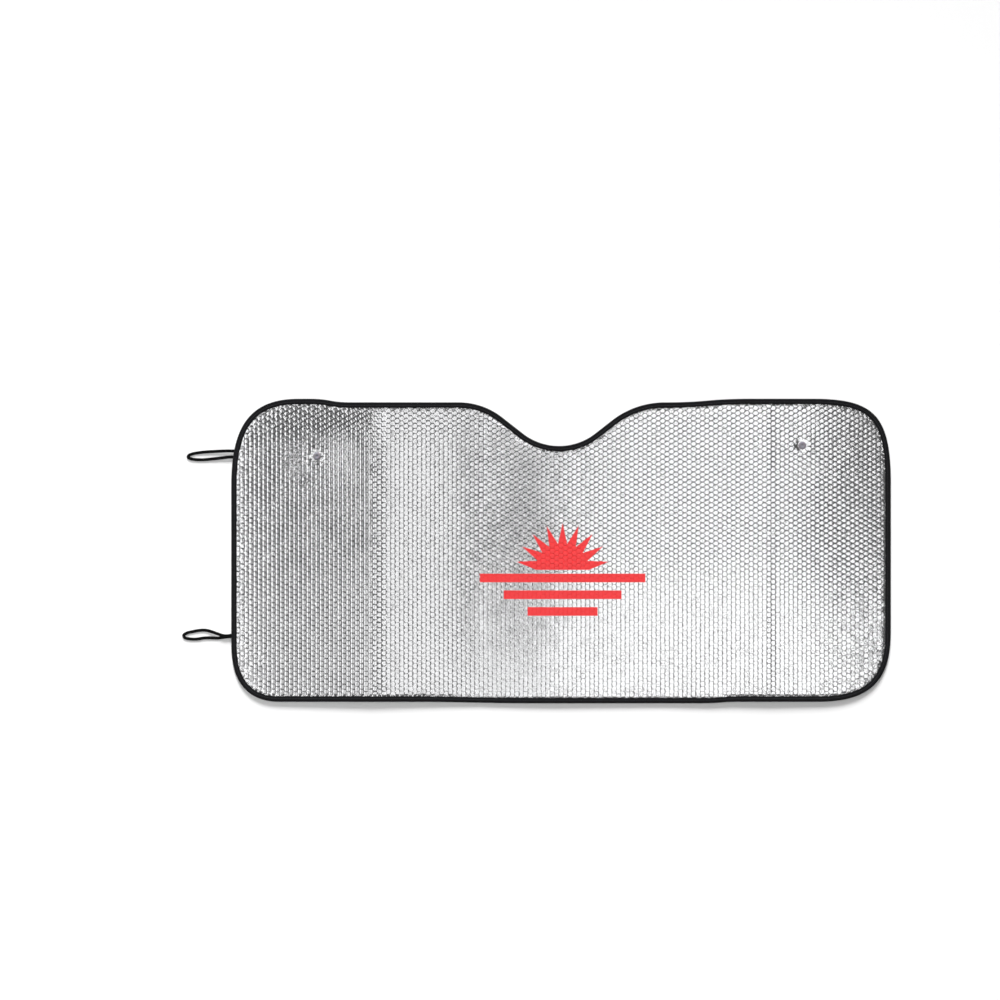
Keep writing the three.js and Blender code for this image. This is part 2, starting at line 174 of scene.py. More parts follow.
def ribbon(line):
    """The elastic's skin along a line: its points, faces and places along and round it."""
    section = elastic_section()
    points, uvs, faces, run = [], [], [], 0.0
    for i, middle in enumerate(line):
        ahead = (line[min(i + 1, len(line) - 1)] - line[max(i - 1, 0)]).normalized()
        side = Vector((0, 0, 1)).cross(ahead).normalized()
        up = ahead.cross(side)
        run += (middle - line[i - 1]).length if i else 0.0
        for across, rise in section:
            points.append(middle + side * across + up * rise)
            uvs.append((run * MM, across * MM))
    sides = len(section)
    for i in range(len(line) - 1):
        for k in range(sides):
            a, b = i * sides + k, i * sides + (k + 1) % sides
            faces.append((a, b, b + sides, a + sides))
    faces.append(tuple(reversed(range(sides))))
    faces.append(tuple(range(len(points) - sides, len(points))))
    return points, [tuple(reversed(face)) for face in faces], uvs


# Braided polyester over rubber: black, with a slight sheen on each yarn, partly a real sheen and
# partly a painted highlight that colours the raised yarns and ribs paler. The yarns cross in a
# chevron, and ribs run along it over the rubber cores.
def braided_elastic():
    material, tree, surface = new_material("braided_polyester_elastic")
    place = add_node(tree, "UVMap", {}, uv_map="UVMap").outputs["UV"]
    parts = add_node(tree, "SeparateXYZ", {"Vector": place})
    fold = add_node(tree, "Math", {0: parts.outputs["Y"], 1: rib_width * MM}, operation="PINGPONG")
    slant = add_node(tree, "Math", {0: parts.outputs["X"], 1: fold.outputs[0]}, operation="ADD")
    turns = 2 * math.pi / (yarn_length * MM)
    yarn = add_node(tree, "Math", {0: slant.outputs[0], 1: turns}, operation="MULTIPLY")
    ridge = add_node(tree, "Math", {0: yarn.outputs[0]}, operation="SINE")
    rib = add_node(tree, "Math", {0: fold.outputs[0], 1: 1 / (rib_width * MM)}, operation="MULTIPLY")
    height = add_node(tree, "Math", {0: ridge.outputs[0], 1: rib.outputs[0]}, operation="ADD")
    # Painted highlight: the colour goes paler with the height of the yarns and ribs
    shade = add_node(
        tree, "MapRange",
        {"Value": height.outputs[0], "From Min": -1.0, "From Max": 2.0, "To Min": 0.0, "To Max": 1.0},
    )
    colour = add_node(
        tree, "Mix",
        {"Factor": shade.outputs["Result"], "A": linear("#020202"), "B": linear("#09090a")},
        data_type="RGBA",
    )
    bump = add_node(tree, "Bump", {"Height": height.outputs[0], "Strength": 0.6, "Distance": 0.15 * MM})
    shader = add_node(
        tree, "BsdfPrincipled",
        {
            "Base Color": colour.outputs["Result"], "Roughness": 0.6, "Sheen Weight": 0.02,
            "Specular IOR Level": 0.15, "Normal": bump.outputs["Normal"],
        },
    )
    tree.links.new(shader.outputs["BSDF"], surface)
    return material


elastic_material = braided_elastic()


def elastic_loop(name, route, root):
    """One loop, with its two ends carried on a little way into the binding."""
    stops = [Vector((x + root[0], y + root[1], z)) for x, y, z in route]
    line = smooth_line(stops, elastic_steps)
    inwards = Vector((sewn_in, 0, 0))
    line = [line[0] + inwards, *line, line[-1] + inwards]
    points, faces, uvs = ribbon(line)
    piece = new_piece(name + "_braid", points, faces, elastic_material, uvs)
    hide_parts(name)
    return piece


elastic_loop("elastic_loop_upper", upper_loop_route, upper_root)
elastic_loop("elastic_loop_lower", lower_loop_route, lower_root)

# Bubble foil: two aluminised polyethylene films with air bubbles 10 mm apart sealed between them,
# packed like a honeycomb in columns across the shade. The upper film stands as a flat-topped
# bubble over each cell, and it is creased where the shade was folded, rolled or sewn.
bubble_pitch = 10.06
column_pitch = bubble_pitch * math.sin(math.pi / 3)
cell_radius = bubble_pitch / math.sqrt(3)
crest_thickness = 4.0
sewn_thickness = 2.4
hem_inset = 1.4
least_cell_inset = 3.0
tape_thickness = 0.8
contact_gap = 0.3
binding_cover = 10.0
# A bubble's flat top as a share of its cell, alone and where a column runs together, and how far
# the zigzag between two columns is pulled straight there
brim_share = 0.79
column_brim_share = 0.95
straightened = 0.8
# How far a bubble's middle stands over its brim, and a valley lies under it. A valley is deeper
# on a straight crease, in the worst crush and round a cup.
crown_height = 0.1
valley_drop = 0.72
creased_drop = 0.2
crushed_drop = 0.25
cup_drop = 0.25
# How far a brim's points stray, a bubble tilts in degrees, its top is slack and its brim waves, in
# the open field and then what the worst crush adds
brim_shift, crushed_shift = 0.18, 0.4
bubble_tilt, crushed_tilt = 0.25, 2.6
slack, crushed_slack = 0.05, 0.35
brim_wave, crushed_wave = 0.02, 0.1
# A crease narrows the tops beside it, the tops lean at the left end and away from the left fold,
# and the foil droops and is pressed flat beside the binding
crease_narrowing = 0.09
left_end_lean = 0.2
fold_tilt = math.radians(0.5)
fold_tilt_reach = 60.0
edge_droop = 0.25
sewn_margin = (10.4, 12.2)
# Each corner of the outline: its reach along the shade and across it, and how square it is
top_left_corner = (132.0, 169.0, 0.7)
top_right_corner = (151.0, 164.0, 0.79)
bottom_right_corner = (143.0, 138.0, 0.71)
bottom_left_corner = (95.0, 112.0, 0.66)
# The top edge dips between its corners and the notch, and the bottom edge sags
top_dip = 7.0
top_dip_from_left = 155.0
top_dip_run = 79.0
top_dip_from_right = 277.0
bottom_sag = 3.0
sag_from_left = 333.0
sag_left_run = 276.0
sag_from_right = 297.0
sag_right_run = 79.0
# The notch that clears the foot of the mirror, with its flanks' angle in degrees
notch_x = -4.0
notch_depth = 86.0
notch_flank_angle = 38.0
notch_bottom_radius = 116.0
notch_left_shoulder_radius = 138.0
notch_right_shoulder_radius = 169.0
# How finely the outline is drawn: the steps of its lines and arcs, the spans of its curves
line_step = 3.0
arc_step = 2.0
ease_spans = 40
corner_spans = 90
# Storage folds: where each lies along the shade, and how high it lifts the sheet
level_end = 20.0
left_fold_from_end = 277.0
right_fold_from_end = 240.0
folds = [
    (-shade_length / 2 + level_end, 0.0), (-shade_length / 2 + left_fold_from_end, 2.5),
    (notch_x - 156, 0.0), (notch_x - 8, 0.8), (notch_x + 204, 0.0),
    (shade_length / 2 - right_fold_from_end, 2.0), (shade_length / 2 - level_end, 0.0),
]
fold_rounding = column_pitch
# Suction cups that pinch the foil: each one's name and its place
cups = [
    ("suction_cup_left", -shade_length / 2 + 169.2, shade_width / 2 - 113.3),
    ("suction_cup_right", shade_length / 2 - 175.1, shade_width / 2 - 92),
]
# Straight creases between two columns: the place in columns from the middle, and the two ends
crease_lines = [
    (-41.5, -290, 290), (-40.5, -290, 290), (-18.5, -20, 290), (-17.5, 60, 290),
    (-1.5, 95, 215), (47.5, -290, 290),
]
# The cups' seat holds the foil off the floor, in a dimple within a wide rise of the sheet
cup_height = 6.2
seat_height = cup_height + contact_gap
pinched_thickness = 2.0
pinch_radius = 9.0
dimple_radius = 17.0
lift_radius = 80.0
neck_hole_radius = 4.0
lowest_back = 0.4
# Left of this the film is drawn so tight that the ends of a bubble's walls are sharp
tight_left = -375.0
wave_draws = random.Random(5)
bubble_draws = np.random.default_rng(11)


def bezier(a, b, c, d, spans):
    """Points of a cubic from a up to d, without d itself."""
    share = np.arange(spans)[:, None] / spans
    rest = 1 - share
    return rest**3 * a + 3 * rest**2 * share * b + 3 * rest * share**2 * c + share**3 * d


def on_circle(middle, radius, angle):
    """The point of a circle at an angle in degrees."""
    turn = math.radians(angle)
    return np.array(middle) + radius * np.array([math.cos(turn), math.sin(turn)])


def shade_outline():
    """The shade's outline over its binding, anticlockwise from the bottom left corner."""
    right, top = shade_length / 2, shade_width / 2
    bottom, low_top = -top + bottom_sag, top - top_dip
    pieces, at = [], np.array([-right + bottom_left_corner[0], bottom])

    def line_to(x, y):
        nonlocal at
        end = np.array([x, y])
        spans = max(1, round(float(np.linalg.norm(end - at)) / line_step))
        pieces.append(at + (end - at) * np.arange(spans)[:, None] / spans)
        at = end

    def ease_to(x, y):
        nonlocal at
        middle = (at[0] + x) / 2
        end = np.array([x, y])
        pieces.append(bezier(at, np.array([middle, at[1]]), np.array([middle, y]), end, ease_spans))
        at = end

    def corner_to(x, y, fullness):
        nonlocal at
        corner = np.array([x, at[1]]) if abs(at[1]) > abs(y) else np.array([at[0], y])
        end = np.array([x, y])
        handles = (at + (corner - at) * fullness, end + (corner - end) * fullness)
        pieces.append(bezier(at, *handles, end, corner_spans))
        at = end

    def arc_to(centre, radius, start, end):
        nonlocal at
        spans = round(math.radians(abs(end - start)) * radius / arc_step)
        angles = np.radians(np.linspace(start, end, spans + 1))
        ring = np.array(centre) + radius * np.stack([np.cos(angles), np.sin(angles)], 1)
        pieces.append(ring[:-1])
        at = ring[-1]

    line_to(-right + sag_from_left, bottom)
    ease_to(-right + sag_from_left + sag_left_run, -top)
    line_to(right - sag_from_right - sag_right_run, -top)
    ease_to(right - sag_from_right, bottom)
    along, across, fullness = bottom_right_corner
    line_to(right - along, bottom)
    corner_to(right, bottom + across, fullness)
    along, across, fullness = top_right_corner
    line_to(right, top - across)
    corner_to(right - along, top, fullness)
    line_to(right - top_dip_from_right, top)

    lean = notch_flank_angle
    run, rise = math.sin(math.radians(lean)), 1 - math.cos(math.radians(lean))

    def reach(shoulder):
        flank = (notch_depth - (notch_bottom_radius + shoulder) * rise) / run
        return (notch_bottom_radius + shoulder) * run + flank * (1 - rise)

    radius = notch_right_shoulder_radius
    ease_to(notch_x + reach(radius), low_top)
    arc_to((at[0], low_top - radius), radius, 90, 90 + lean)
    radius = notch_bottom_radius
    middle = (notch_x, low_top - notch_depth + radius)
    line_to(*on_circle(middle, radius, lean - 90))
    arc_to(middle, radius, lean - 90, -lean - 90)
    radius = notch_left_shoulder_radius
    middle = (notch_x - reach(radius), low_top - radius)
    line_to(*on_circle(middle, radius, 90 - lean))
    arc_to(middle, radius, 90 - lean, 90)

    line_to(-right + top_dip_from_left + top_dip_run, low_top)
    ease_to(-right + top_dip_from_left, top)
    along, across, fullness = top_left_corner
    line_to(-right + along, top)
    corner_to(-right, top - across, fullness)
    along, across, fullness = bottom_left_corner
    line_to(-right, bottom + across)
    corner_to(-right + along, bottom, fullness)
    return np.concatenate(pieces)


outline = shade_outline()


def inset_of(x, y):
    """How far inside the outline each point lies, negative outside it."""
    start, end = outline, np.roll(outline, -1, axis=0)
    span = end - start
    nearest = np.full(len(x), 1e9)
    inside = np.zeros(len(x), bool)
    batch = 2000
    for first in range(0, len(x), batch):
        part = slice(first, first + batch)
        px, py = x[part, None], y[part, None]
        share = ((px - start[:, 0]) * span[:, 0] + (py - start[:, 1]) * span[:, 1]) / (span**2).sum(1)
        share = np.clip(share, 0, 1)
        away = np.hypot(px - start[:, 0] - share * span[:, 0], py - start[:, 1] - share * span[:, 1])
        nearest[part] = away.min(1)
        crosses = (start[:, 1] > py) != (end[:, 1] > py)
        rise = np.where(span[:, 1] == 0, 1e-9, span[:, 1])
        crossing_x = start[:, 0] + (py - start[:, 1]) * span[:, 0] / rise
        inside[part] = (crosses & (px < crossing_x)).sum(1) % 2 == 1
    return np.where(inside, nearest, -nearest)


def lie_at(x):
    """Height of the lying sheet over the floor, from the bend at each storage fold."""
    slopes = [0.0] + [(b[1] - a[1]) / (b[0] - a[0]) for a, b in zip(folds, folds[1:])] + [0.0]
    height = 0.0
    for (fold_x, _), before, after in zip(folds, slopes, slopes[1:]):
        away = x - fold_x
        rounded = (away + fold_rounding) ** 2 / (4 * fold_rounding)
        ramp = np.where(away > fold_rounding, away, np.where(away < -fold_rounding, 0.0, rounded))
        height = height + (after - before) * ramp
    return height


def cup_distance(x, y):
    """Distance to the nearer cup's axis."""
    return np.minimum.reduce([np.hypot(x - cup_x, y - cup_y) for _, cup_x, cup_y in cups])


def waves(x, y, wavelength, count):
    """A smooth random field between about -1 and 1, with bumps of one rough size."""
    total = 0.0
    for _ in range(count):
        angle, phase = wave_draws.uniform(0, math.pi), wave_draws.uniform(0, 2 * math.pi)
        stretch = wavelength * wave_draws.uniform(0.7, 1.4)
        total = total + np.cos(2 * math.pi * (x * math.cos(angle) + y * math.sin(angle)) / stretch + phase)
    return total / math.sqrt(count / 2)


def smooth(low, high, value):
    """A rise from 0 at low to 1 at high, level at both ends."""
    share = np.clip((value - low) / (high - low), 0, 1)
    return share * share * (3 - 2 * share)


def columnar(x, y):
    """Where the film is stretched across the shade, so that the bubbles of a column run together."""
    ridged = np.maximum(smooth(40, -120, y), smooth(-130, -230, x) * smooth(270, 200, y))
    return ridged * (1 - 0.5 * smooth(450, 560, x))


def crown_at(x, y):
    """How far a bubble's middle stands over its brim: the bubbles are fuller towards both ends."""
    left = 0.08 * smooth(-330, -410, x)
    right = 0.14 * smooth(400, 560, x) * smooth(-180, -20, y)
    return crown_height + left + right


def brim_share_at(x, y):
    """A bubble's flat top as a share of its cell: smaller towards both ends."""
    left = 0.21 * smooth(-340, -400, x) + 0.04 * smooth(-150, -190, x)
    right = 0.12 * smooth(400, 560, x) * smooth(-180, -20, y)
    return brim_share - left - right


def valley_drop_at(x, y):
    """How far a valley lies under the brims: the valleys are deeper towards both ends."""
    right = 0.3 * smooth(450, 560, x) * smooth(-180, -20, y)
    return valley_drop + 0.4 * smooth(-340, -400, x) + right


def creased_line(x, y, reach):
    """Where a place lies within reach of a straight crease between two columns."""
    share = 0.0
    for column, low, high in crease_lines:
        beside = np.abs(x - column * column_pitch) < reach
        share = np.maximum(share, beside * smooth(0, 20, np.minimum(y - low, high - y)))
    return share


def crease_at(x, y, inset):
    """How crushed the film is, from 0 in the open field to 1 in the worst corners.

    Each line below is a region's strength, and the two places between which it sets in.
    """
    beside_seam = 0.45 * (1 - smooth(10, 26, inset))
    right_corner = smooth(440, 640, x) * smooth(60, -220, y) * 0.75
    left_corner = smooth(-520, -640, x) * smooth(-120, -280, y) * 0.6
    bottom_edge = 0.35 * smooth(-255, -290, y)
    at_fold = 0.0
    for fold_x, _ in folds[1:-1]:
        at_fold = np.maximum(at_fold, 0.15 * (1 - smooth(2, 9, np.abs(x - fold_x))))
    patchy = 0.02 + 0.04 * waves(x, y, 140.0, 6)
    left_edge = 0.6 * smooth(-610, -635, x)
    worst = np.maximum.reduce([beside_seam, right_corner, left_corner, left_edge, bottom_edge, at_fold])
    return np.clip(np.maximum(worst, patchy), 0, 1)


# The honeycomb of cells, with the corners that they share
half_columns = math.ceil(shade_length / 2 / column_pitch)
half_rows = math.ceil(shade_width / 2 / bubble_pitch)
centres = np.array([
    (i * column_pitch, (j + (i % 2) / 2) * bubble_pitch)
    for i in range(-half_columns, half_columns + 1)
    for j in range(-half_rows, half_rows + 1)
])
centres = centres[inset_of(*centres.T) > least_cell_inset]
nearest_cells = [
    int(np.hypot(centres[:, 0] - cup_x, centres[:, 1] - cup_y).argmin()) for _, cup_x, cup_y in cups
]
hole_centres = centres[nearest_cells]
centres = np.delete(centres, nearest_cells, axis=0)
angles = np.arange(6) * math.pi / 3
spokes = np.stack([np.cos(angles), np.sin(angles)], 1)
corner_places = (centres[:, None, :] + cell_radius * spokes).reshape(-1, 2)
_, first_seen, shared = np.unique(
    np.round(corner_places * 2).astype(int), axis=0, return_index=True, return_inverse=True
)
corner_places = corner_places[first_seen]
cell_corners = shared.reshape(-1, 6)
line_share = creased_line(*corner_places.T, cell_radius / 2)
between_columns = (np.floor(corner_places[:, 0] / column_pitch) + 0.5) * column_pitch
straight = np.maximum(straightened * columnar(*corner_places.T), line_share)
corner_places[:, 0] += (between_columns - corner_places[:, 0]) * straight

# The two cells at the cups are left out, and their corners moved out round the neck's hole
for (_, cup_x, cup_y), middle in zip(cups, hole_centres):
    around = np.hypot(*(corner_places - middle).T) < cell_radius * 1.1
    away = corner_places[around] - (cup_x, cup_y)
    corner_places[around] = (cup_x, cup_y) + away * neck_hole_radius / np.hypot(*away.T)[:, None]

# Corners near the edge move onto the hem, inside the binding
along_edge = np.roll(outline, -1, axis=0) - np.roll(outline, 1, axis=0)
inward = np.stack([-along_edge[:, 1], along_edge[:, 0]], 1) / np.hypot(*along_edge.T)[:, None]
for i in np.nonzero(inset_of(*corner_places.T) < hem_inset)[0]:
    nearest = np.hypot(*(outline - corner_places[i]).T).argmin()
    corner_places[i] = outline[nearest] + inward[nearest] * hem_inset

# The brims: six points round each flat top, at one share of the way to the corners along the
# shade and at another across it
beside_crease = creased_line(*centres.T, 0.75 * column_pitch)
along_share = brim_share_at(*centres.T) - crease_narrowing * beside_crease
across_share = along_share + (column_brim_share - brim_share) * columnar(*centres.T)
brim_shares = np.stack([along_share, across_share], 1)[:, None, :]
brims = centres[:, None, :] + brim_shares * (corner_places[cell_corners] - centres[:, None, :])
crushed = crease_at(*centres.T, inset_of(*centres.T))[:, None, None]
brims += (brim_shift + crushed_shift * crushed) * bubble_draws.normal(size=brims.shape)
brims[:, :, 0] += left_end_lean * smooth(-340, -400, centres[:, :1])


def foil_bottom(x, y, inset):
    """Height of the back film: the lie of the sheet, its slight swells, and its lift at a cup."""
    swell = 0.16 * waves(x, y, 210.0, 7) + 0.03 * waves(x, y, 60.0, 9)
    lying = tape_thickness + contact_gap + lie_at(x) + swell * smooth(14, 60, inset)
    lying = lying - edge_droop * smooth(22, 9, inset)
    away = (cup_distance(x, y) - pinch_radius) / (lift_radius - pinch_radius)
    share = (1 + np.cos(math.pi * np.clip(away, 0, 1))) / 2
    return np.maximum(lying, lowest_back) * (1 - share) + seat_height * share


def under_caps(x, y, height):
    """The foil's top held down by the dimple round each cup."""
    away = cup_distance(x, y)
    slope = (crest_thickness + contact_gap - pinched_thickness) / (dimple_radius - pinch_radius)
    cap = seat_height + pinched_thickness + np.clip(away - pinch_radius, 0, None) * slope
    return np.where(away < dimple_radius, np.minimum(height, cap), height)


def levelled_share(x, y):
    """How level a bubble's top stays where the sheet under it rises to a cup, from 0 to 1."""
    away = cup_distance(x, y)
    return 0.9 * smooth(lift_radius + 10, lift_radius - 10, away) * smooth(20, 32, away)


all_x = np.concatenate([centres[:, 0], corner_places[:, 0], brims[:, :, 0].ravel()])
all_y = np.concatenate([centres[:, 1], corner_places[:, 1], brims[:, :, 1].ravel()])
all_inset = inset_of(all_x, all_y)
all_bottom = foil_bottom(all_x, all_y, all_inset)
all_crease = crease_at(all_x, all_y, all_inset)
n_cells, n_corners = len(centres), len(corner_places)
cell_part, corner_part = slice(0, n_cells), slice(n_cells, n_cells + n_corners)
brim_part = slice(n_cells + n_corners, None)

# Each bubble has its own fullness and tilt, more where the film is crushed
cell_crease = all_crease[cell_part]
sewn_share = 1 - smooth(*sewn_margin, all_inset)
tilt = np.radians(bubble_tilt + crushed_tilt * cell_crease)[:, None]
tilt = tilt * bubble_draws.normal(size=(n_cells, 2))
from_fold = centres[:, 0] - folds[1][0]
tilt[:, 0] -= fold_tilt * np.sign(from_fold) * np.exp(-np.abs(from_fold) / fold_tilt_reach)
fullness = 1 - np.abs(bubble_draws.normal(size=n_cells)) * (slack + crushed_slack * cell_crease)
cell_crown = crown_at(*centres.T)
full_brim = crest_thickness - cell_crown - valley_drop * (1 - fullness)
full_crest = full_brim + cell_crown * fullness
brim_lean = ((brims - centres[:, None, :]) * np.tan(tilt)[:, None, :]).sum(2)
brim_jitter = (brim_wave + crushed_wave * cell_crease)[:, None]
brim_jitter = brim_jitter * bubble_draws.normal(size=brim_lean.shape)


def sewn_down(thickness, part):
    """A thickness pressed down to the sewn margin's beside the binding."""
    share = sewn_share[part]
    return thickness * (1 - share) + np.minimum(thickness, sewn_thickness) * share


crest_z = all_bottom[cell_part] + sewn_down(full_crest, cell_part)
centre_bottom = np.repeat(all_bottom[cell_part], 6)
levelled = np.repeat(levelled_share(*centres.T), 6)
brim_bottom = all_bottom[brim_part] * (1 - levelled) + centre_bottom * levelled
brim_z = brim_bottom + sewn_down(
    (full_brim[:, None] + brim_lean + brim_jitter).ravel(), brim_part
)
deep = crest_thickness - crown_at(*corner_places.T) - valley_drop_at(*corner_places.T)
corner_crush = all_crease[corner_part] * np.abs(bubble_draws.normal(size=n_corners))
corner_depth = deep - creased_drop * line_share - crushed_drop * corner_crush
corner_depth = corner_depth - cup_drop * levelled_share(*corner_places.T)
corner_z = all_bottom[corner_part] + sewn_down(corner_depth, corner_part)
crest_z = under_caps(centres[:, 0], centres[:, 1], crest_z)
brim_z = under_caps(brims[:, :, 0].ravel(), brims[:, :, 1].ravel(), brim_z)
corner_z = under_caps(corner_places[:, 0], corner_places[:, 1], corner_z)
back_z = all_bottom[corner_part]

crests = np.column_stack([centres, crest_z])
corners = np.column_stack([corner_places, corner_z])
brim_points = np.column_stack([brims.reshape(-1, 2), brim_z])
backs = np.column_stack([corner_places, back_z])
foil_points = np.concatenate([crests, corners, brim_points, backs])
first_brim, first_back = n_cells + n_corners, n_cells + n_corners + 6 * n_cells

# A cell's faces are 18 on top, from its crest out to its corners, and then one on the back
foil_faces, edge_uses = [], {}
top_faces = 18
for cell, around in enumerate(cell_corners.tolist()):
    brim = [first_brim + 6 * cell + k for k in range(6)]
    for k in range(6):
        here, beside = around[k], around[(k + 1) % 6]
        foil_faces.append((cell, brim[k], brim[(k + 1) % 6]))
        foil_faces.append((brim[k], n_cells + here, n_cells + beside))
        foil_faces.append((brim[k], n_cells + beside, brim[(k + 1) % 6]))
        edge_uses[(here, beside)] = True
    foil_faces.append(tuple(first_back + corner for corner in reversed(around)))
for here, beside in edge_uses:
    if (beside, here) not in edge_uses:
        foil_faces.append((n_cells + beside, n_cells + here, first_back + here, first_back + beside))


# The scale of each noise texture is the number of its bumps in a metre

# Aluminised film: bright vacuum metal on polyethylene, satin from the heat seal. It mirrors the
# light above softly. Fine creases 2 to 6 mm across break up each reflection, and a few thin
# crinkle lines, in patches some 30 mm wide, cross the bubbles. The finest creases of the real
# film are drawn coarser than they are, so that they show.
def aluminised_film():
    material, tree, surface = new_material("aluminised_polyethylene_film")
    place = add_node(tree, "TexCoord", {}).outputs["Object"]
    crease = add_node(tree, "Attribute", {}, attribute_name="crease").outputs["Fac"]
    fine = add_node(
        tree, "TexNoise",
        {"Vector": place, "Scale": 420.0, "Detail": 3.0, "Roughness": 0.6},
    )
    coarse = add_node(
        tree, "TexNoise",
        {"Vector": place, "Scale": 160.0, "Detail": 2.0, "Distortion": 1.5},
    )
    both = add_node(
        tree, "Math", {0: fine.outputs["Fac"], 1: 0.2, 2: coarse.outputs["Fac"]}, operation="MULTIPLY_ADD"
    )
    depth = add_node(tree, "MapRange", {"Value": crease, "To Min": 0.12, "To Max": 1.0})
    bump = add_node(
        tree, "Bump",
        {"Height": both.outputs[0], "Strength": depth.outputs["Result"], "Distance": 0.6 * MM},
    )
    cloud = add_node(tree, "TexNoise", {"Vector": place, "Scale": 30.0, "Detail": 4.0})
    wrinkle = add_node(
        tree, "TexNoise",
        {"Vector": place, "Scale": 80.0, "Detail": 1.0, "Distortion": 0.8},
    )
    near_half = add_node(tree, "Math", {0: wrinkle.outputs["Fac"], 1: 0.5}, operation="PINGPONG")
    line = add_node(tree, "MapRange", {"Value": near_half.outputs[0], "From Min": 0.485, "From Max": 0.5})
    patch = add_node(tree, "MapRange", {"Value": cloud.outputs["Fac"], "From Min": 0.42, "From Max": 0.56})
    ridge = add_node(
        tree, "Math", {0: line.outputs["Result"], 1: patch.outputs["Result"]}, operation="MULTIPLY"
    )
    sharpness = add_node(tree, "MapRange", {"Value": crease, "To Min": 0.35, "To Max": 0.8})
    crinkle = add_node(
        tree, "Bump",
        {
            "Height": ridge.outputs[0], "Strength": sharpness.outputs["Result"],
            "Distance": 0.4 * MM, "Normal": bump.outputs["Normal"],
        },
    )
    gloss = add_node(
        tree, "MapRange", {"Value": cloud.outputs["Fac"], "To Min": 0.12, "To Max": 0.18}
    )
    colour = add_node(
        tree, "Mix",
        {"Factor": cloud.outputs["Fac"], "A": linear("#ececee"), "B": linear("#f6f6f7")},
        data_type="RGBA",
    )
    shader = add_node(
        tree, "BsdfPrincipled",
        {
            "Base Color": colour.outputs["Result"], "Metallic": 1.0,
            "Roughness": gloss.outputs["Result"], "Normal": crinkle.outputs["Normal"],
        },
    )
    tree.links.new(shader.outputs["BSDF"], surface)
    return material


foil = new_piece("bubble_foil", foil_points, foil_faces, aluminised_film())
crease_values = np.concatenate([
    all_crease[cell_part], all_crease[corner_part], all_crease[brim_part], all_crease[corner_part]
])
foil.data.attributes.new("crease", "FLOAT", "POINT").data.foreach_set(
    "value", crease_values.astype(np.float32)
)

# The film turns sharply along every rim, every valley, the seams of the back and the hem, and
# where it is drawn tight also down the walls at four of a bubble's corners, all but the two that
# lie along the shade
at_corner, at_brim, at_back = 1, 2, 3
sharp_spokes = (1, 2, 4, 5)
edge_ends = np.empty(2 * len(foil.data.edges), dtype=np.int32)
foil.data.edges.foreach_get("vertices", edge_ends)
edge_ends = np.sort(edge_ends.reshape(-1, 2), axis=1)
low_kind, high_kind = np.searchsorted([n_cells, first_brim, first_back], edge_ends.T, side="right")
spoke = (edge_ends[:, 1] - first_brim) % 6
lower_corner = np.clip(edge_ends[:, 0] - n_cells, 0, n_corners - 1)
wall_end = (low_kind == at_corner) & (high_kind == at_brim) & np.isin(spoke, sharp_spokes)
wall_end &= corner_places[lower_corner, 0] < tight_left
at_hem = (low_kind == at_corner) & (high_kind == at_back)
sharp = (low_kind == high_kind) | at_hem | wall_end
foil.data.attributes.new("sharp_edge", "BOOLEAN", "EDGE").data.foreach_set("value", sharp)
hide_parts("bubble_foil_sheet")

# Print on the foil: a half sun over three bars, screen-printed in one red ink. The ink is a thin
# skin that follows the bubbles.
ink_lift = 0.06
ink_thickness = 0.05
print_x = 3.0
sun_base = -37.0
sun_disc_radius = 52.0
sun_ray_radius = 92.0
sun_rays = 9
bar_height = 17.0
bar_spacing = 33.0
bar_lengths = (326.0, 232.0, 138.0)
cutting_tolerance = 1e-4
weld_distance = 1e-3


def printed_piece(name, regions):
    """The foil's upper film inside some convex regions, lifted a little and given thickness."""
    whole = bmesh.new()
    for region in regions:
        low, high = np.min(region, axis=0) - cell_radius, np.max(region, axis=0) + cell_radius
        near = ((centres > low) & (centres < high)).all(1)
        cut, made = bmesh.new(), {}
        for cell in np.nonzero(near)[0]:
            first = (top_faces + 1) * cell
            for face in foil_faces[first : first + top_faces]:
                for index in face:
                    if index not in made:
                        made[index] = cut.verts.new(foil_points[index] + (0, 0, ink_lift))
                cut.faces.new([made[index] for index in face])
        for (ax, ay), (bx, by) in zip(region, region[1:] + region[:1]):
            bmesh.ops.bisect_plane(
                cut, geom=cut.verts[:] + cut.edges[:] + cut.faces[:], plane_co=(ax, ay, 0),
                plane_no=(by - ay, ax - bx, 0), clear_outer=True, dist=cutting_tolerance,
            )
        part = bpy.data.meshes.new("part")
        cut.to_mesh(part)
        whole.from_mesh(part)
        cut.free()
        bpy.data.meshes.remove(part)
    bmesh.ops.remove_doubles(whole, verts=whole.verts[:], dist=weld_distance)
    bmesh.ops.triangulate(whole, faces=whole.faces[:])
    points = np.array([vertex.co for vertex in whole.verts])
    tops = [tuple(vertex.index for vertex in face.verts) for face in whole.faces]
    rims = [
        (edge.link_loops[0].vert.index, edge.link_loops[0].link_loop_next.vert.index)
        for edge in whole.edges if len(edge.link_faces) == 1
    ]
    whole.free()
    count = len(points)
    faces = [tuple(i + count for i in face) for face in tops] + [face[::-1] for face in tops]
    faces += [(a, b, b + count, a + count) for a, b in rims]
    both = np.concatenate([points, points + (0, 0, ink_thickness)])
    piece = new_piece(name + "_ink", both, faces, ink_material)
    piece.data.shade_flat()
    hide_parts(name)
    return piece


